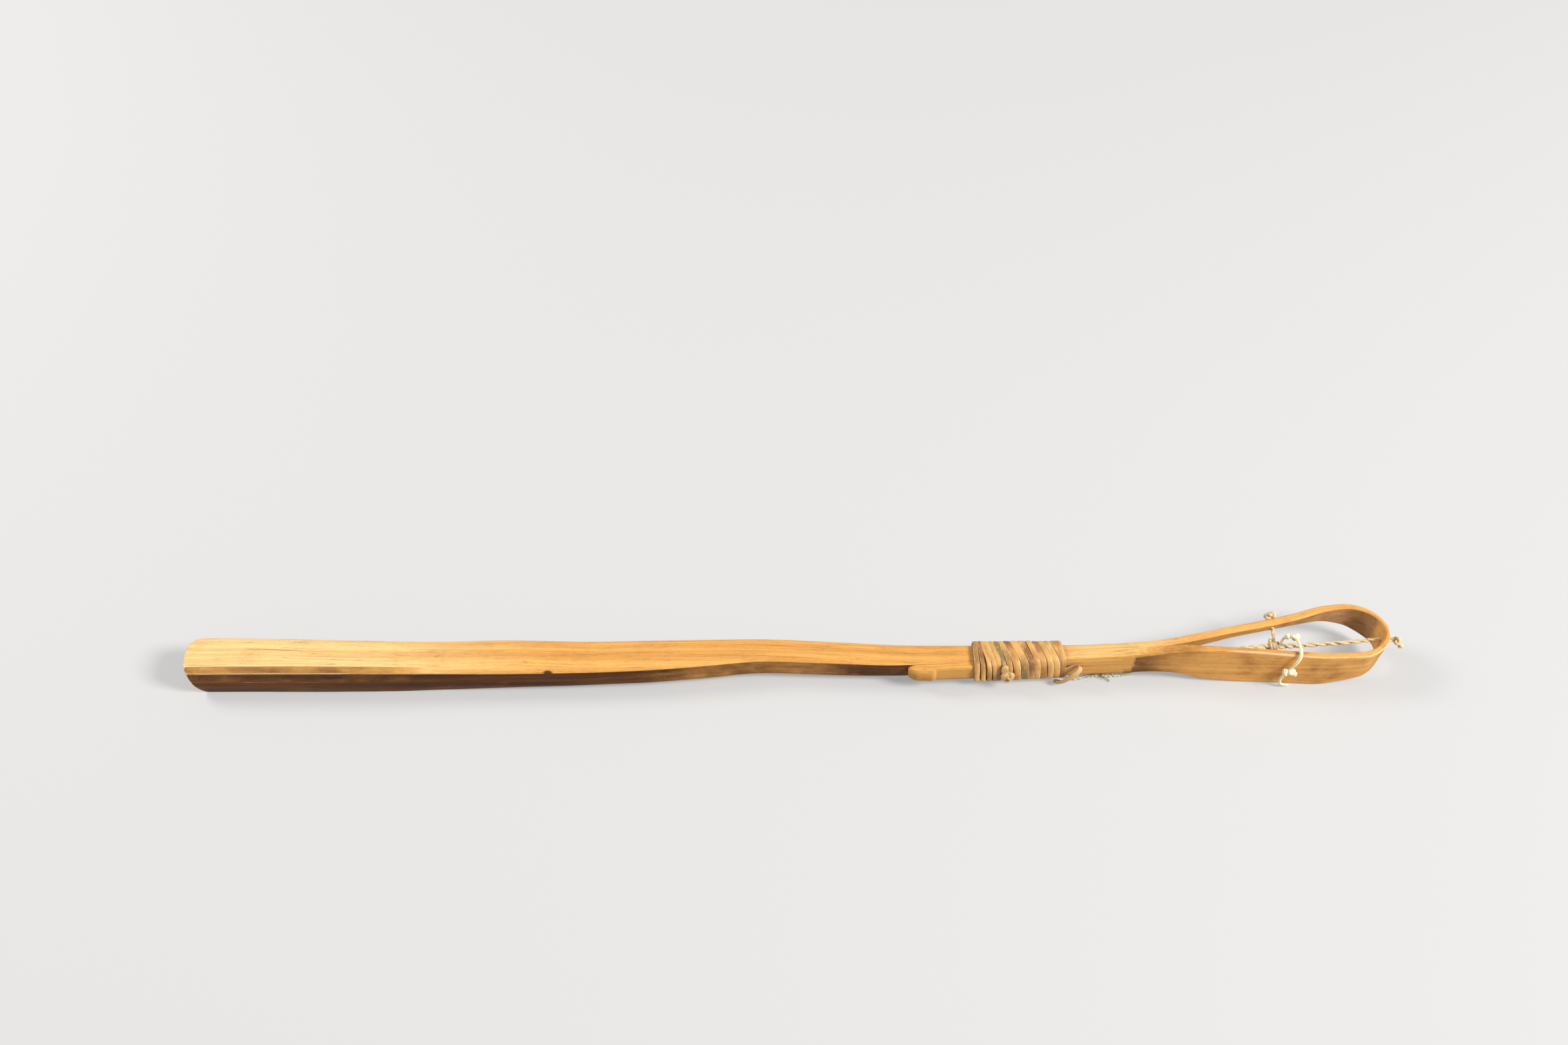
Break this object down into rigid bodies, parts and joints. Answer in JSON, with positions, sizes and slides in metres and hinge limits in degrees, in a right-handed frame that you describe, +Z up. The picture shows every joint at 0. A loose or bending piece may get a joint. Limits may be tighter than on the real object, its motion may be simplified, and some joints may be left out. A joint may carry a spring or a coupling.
{
  "type": "lacrosse ball stick",
  "caption": "Old wooden ball stick: one hickory billet with a faceted handle, bent round at the end as a small laced cup and bound back to the shaft with a wound thong.",
  "frame": {"origin": "on the floor under the middle of the wood's bounding box, with the stick lying on its side", "axes": "+X along the stick from the butt to the cup's tip, +Y across the cup from the bent-back near wall to the far arm, +Z up from the floor"},
  "size_m": [0.659, 0.045, 0.0272],
  "materials": {
    "hickory": "hand-whittled hickory, oiled by use, honey brown with fine dark grain",
    "rawhide": "dried leather thong, olive to red brown, slightly glossy",
    "twisted_cord": "two-ply twisted cord, matt cream",
    "lace": "smooth off-white lace",
    "twine": "frayed twine, grey cream"
  },
  "bodies": {
    "root": {"stick": "hickory", "lashing_thong": "rawhide", "long_cord": "twisted_cord", "cross_cord": "twisted_cord", "white_lace": "lace", "loose_twine": "twine"}
  },
  "joints": []
}
